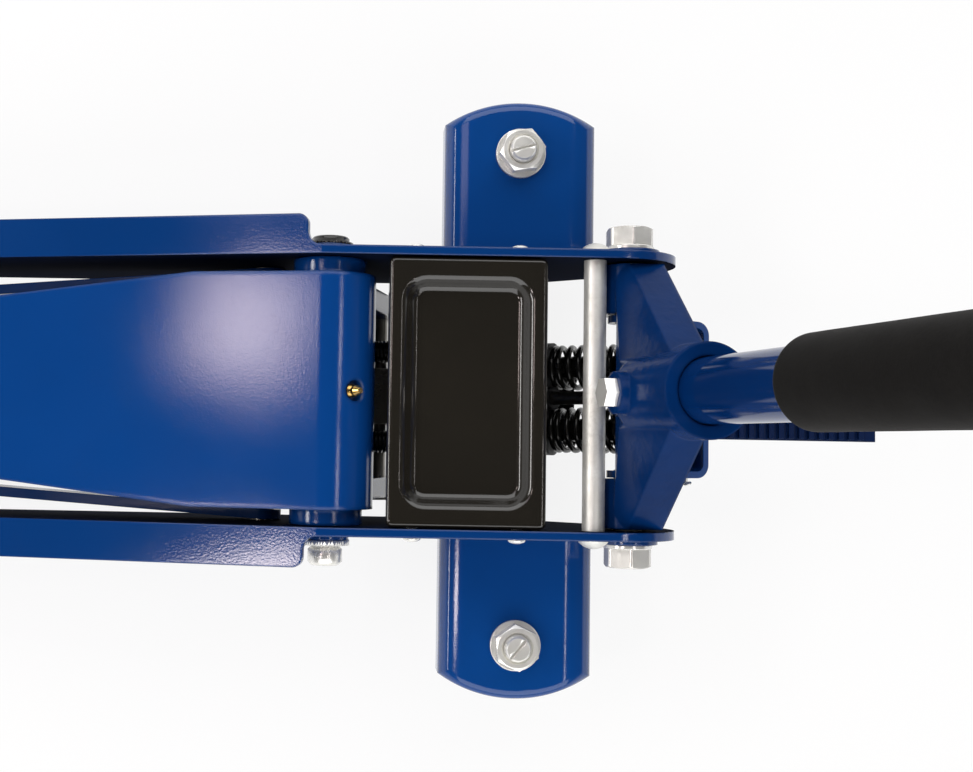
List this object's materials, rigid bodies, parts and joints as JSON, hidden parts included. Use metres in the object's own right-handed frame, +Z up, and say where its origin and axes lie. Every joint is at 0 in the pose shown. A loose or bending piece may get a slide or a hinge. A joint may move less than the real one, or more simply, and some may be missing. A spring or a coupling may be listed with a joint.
{
  "type": "floor jack",
  "caption": "Low trolley jack with a hinged lift arm, swivelling saddle, casters, parts tray, foot pedal and a tall pumping handle in an arched yoke.",
  "frame": {"origin": "on the floor, under the lift arm's pivot axis, midway between the side plates", "axes": "+X toward the handle, +Y to the left side plate, +Z up"},
  "size_m": [0.9262, 0.3602, 1.2635],
  "materials": {
    "blue_paint": "glossy powder coat",
    "dark_blue_paint": "dark blue enamel",
    "zinc": "satin zinc plate",
    "steel": "oiled machined steel",
    "cast_unit": "black painted casting",
    "tray_black": "glossy black-brown coat",
    "brass": "polished brass",
    "rubber": "matte rubber",
    "foam": "matte closed-cell foam",
    "black_steel": "black oxide",
    "caster_tread": "machined iron wheel"
  },
  "bodies": {
    "chassis": {"side_plate_left": "blue_paint", "side_plate_right": "blue_paint", "tie_rod": "zinc", "front_tie_rod": "zinc", "front_axle": "zinc", "caster_wing_left": "blue_paint", "caster_wing_right": "blue_paint", "caster_stud_left": "zinc", "caster_stud_right": "zinc", "pivot_shaft": "steel", "rod_anchor_left": "steel", "rod_anchor_right": "steel", "power_unit": "cast_unit", "unit_bolt_left": "zinc", "unit_bolt_right": "zinc", "return_spring_left": "black_steel", "return_spring_right": "black_steel", "tray": "tray_black", "tray_screw_left_1": "zinc", "tray_screw_right_1": "zinc", "tray_screw_left_2": "zinc", "tray_screw_right_2": "zinc", "yoke_bolt_left": "zinc", "yoke_bolt_right": "zinc", "pump_spring_left": "black_steel", "pump_spring_right": "black_steel"},
    "arm": {"lift_arm": "blue_paint", "lever_pin": "steel", "grease_nipple": "brass", "tip_pin": "steel"},
    "rods": {"radius_rod_left": "dark_blue_paint", "radius_rod_right": "dark_blue_paint"},
    "bracket": {"saddle_bracket": "dark_blue_paint", "rod_pin": "steel"},
    "saddle": {"saddle": "steel", "saddle_pad": "rubber"},
    "ram": {"ram": "steel", "crosshead": "steel"},
    "yoke": {"handle_yoke": "blue_paint", "clamp_bolt": "zinc", "yoke_roller": "steel"},
    "handle": {"handle_tube": "blue_paint", "handle_upper": "blue_paint", "foam_sleeve": "foam", "handle_grip": "rubber"},
    "release_valve": {"valve_stem": "steel"},
    "plunger_left": {"plunger_left": "black_steel"},
    "plunger_right": {"plunger_right": "black_steel"},
    "pedal": {"pedal_bracket": "dark_blue_paint", "pedal_roller": "steel", "pedal_pin": "zinc", "pedal_pad": "dark_blue_paint"},
    "front_wheel_left": {"front_wheel_left": "caster_tread"},
    "front_wheel_right": {"front_wheel_right": "caster_tread"},
    "caster_left": {"caster_fork_left": "zinc", "caster_axle_left": "zinc"},
    "caster_right": {"caster_fork_right": "zinc", "caster_axle_right": "zinc"},
    "caster_wheel_left": {"caster_wheel_left": "caster_tread"},
    "caster_wheel_right": {"caster_wheel_right": "caster_tread"}
  },
  "joints": [
    {"name": "lift", "type": "hinge", "parent": "chassis", "child": "arm", "pos_m": [0, 0, 0.12], "axis": [0, 1, 0], "range_deg": [0, 64], "deforming": ["return_spring_left", "return_spring_right"]},
    {"name": "rods_turn", "type": "hinge", "parent": "chassis", "child": "rods", "pos_m": [-0.039, 0, 0.082], "axis": [0, 1, 0], "range_deg": [0, 64]},
    {"name": "bracket_level", "type": "hinge", "parent": "arm", "child": "bracket", "pos_m": [-0.36051, 0, 0.0629], "axis": [0, 1, 0], "range_deg": [-64, 0]},
    {"name": "saddle_turn", "type": "hinge", "parent": "bracket", "child": "saddle", "pos_m": [-0.37051, 0, 0.116], "axis": [0, 0, 1], "continuous": true},
    {"name": "ram_slide", "type": "slide", "parent": "chassis", "child": "ram", "axis": [-1, 0, 0], "range_m": [0, 0.08457]},
    {"name": "handle_pump", "type": "hinge", "parent": "chassis", "child": "yoke", "pos_m": [0.173, 0, 0.125], "axis": [0, 1, 0], "range_deg": [-13.5, 50]},
    {"name": "handle_twist", "type": "hinge", "parent": "yoke", "child": "handle", "pos_m": [0.173, 0, 0.125], "axis": [0.2334, 0, 0.9724], "range_deg": [0, 120]},
    {"name": "valve_turn", "type": "hinge", "parent": "chassis", "child": "release_valve", "pos_m": [0.173, 0, 0.125], "axis": [0.7071, 0, 0.7071], "range_deg": [0, 120]},
    {"name": "left_pump", "type": "slide", "parent": "chassis", "child": "plunger_left", "axis": [-0.866, 0, -0.5], "range_m": [-0.00554, 0.02048], "deforming": ["pump_spring_left"]},
    {"name": "right_pump", "type": "slide", "parent": "chassis", "child": "plunger_right", "axis": [-0.866, 0, -0.5], "range_m": [0, 0.0107], "deforming": ["pump_spring_right"]},
    {"name": "pedal_press", "type": "hinge", "parent": "chassis", "child": "pedal", "pos_m": [0.173, 0, 0.125], "axis": [0, 1, 0], "range_deg": [0, 25], "stiffness_Nm_per_rad": 8, "springref_deg": -20.05},
    {"name": "front_left_spin", "type": "hinge", "parent": "chassis", "child": "front_wheel_left", "pos_m": [-0.425, 0.1045, 0.038], "axis": [0, 1, 0], "continuous": true},
    {"name": "front_right_spin", "type": "hinge", "parent": "chassis", "child": "front_wheel_right", "pos_m": [-0.425, -0.1045, 0.038], "axis": [0, 1, 0], "continuous": true},
    {"name": "caster_left_swivel", "type": "hinge", "parent": "chassis", "child": "caster_left", "pos_m": [0.1135, 0.14755, 0.085], "axis": [0, 0, 1], "continuous": true},
    {"name": "caster_right_swivel", "type": "hinge", "parent": "chassis", "child": "caster_right", "pos_m": [0.1135, -0.14755, 0.085], "axis": [0, 0, 1], "continuous": true},
    {"name": "caster_left_spin", "type": "hinge", "parent": "caster_left", "child": "caster_wheel_left", "pos_m": [0.1355, 0.14755, 0.03], "axis": [0, 1, 0], "continuous": true},
    {"name": "caster_right_spin", "type": "hinge", "parent": "caster_right", "child": "caster_wheel_right", "pos_m": [0.1355, -0.14755, 0.03], "axis": [0, 1, 0], "continuous": true}
  ],
  "couplings": [
    {"joint": "rods_turn", "follows": "lift", "ratio": 1},
    {"joint": "bracket_level", "follows": "lift", "ratio": -1},
    {"joint": "ram_slide", "follows": "lift", "m_per_rad": 0.0757},
    {"joint": "valve_turn", "follows": "handle_twist", "ratio": 1},
    {"joint": "left_pump", "follows": "handle_pump", "m_per_rad": 0.02346},
    {"joint": "right_pump", "follows": "pedal_press", "m_per_rad": 0.024505}
  ]
}
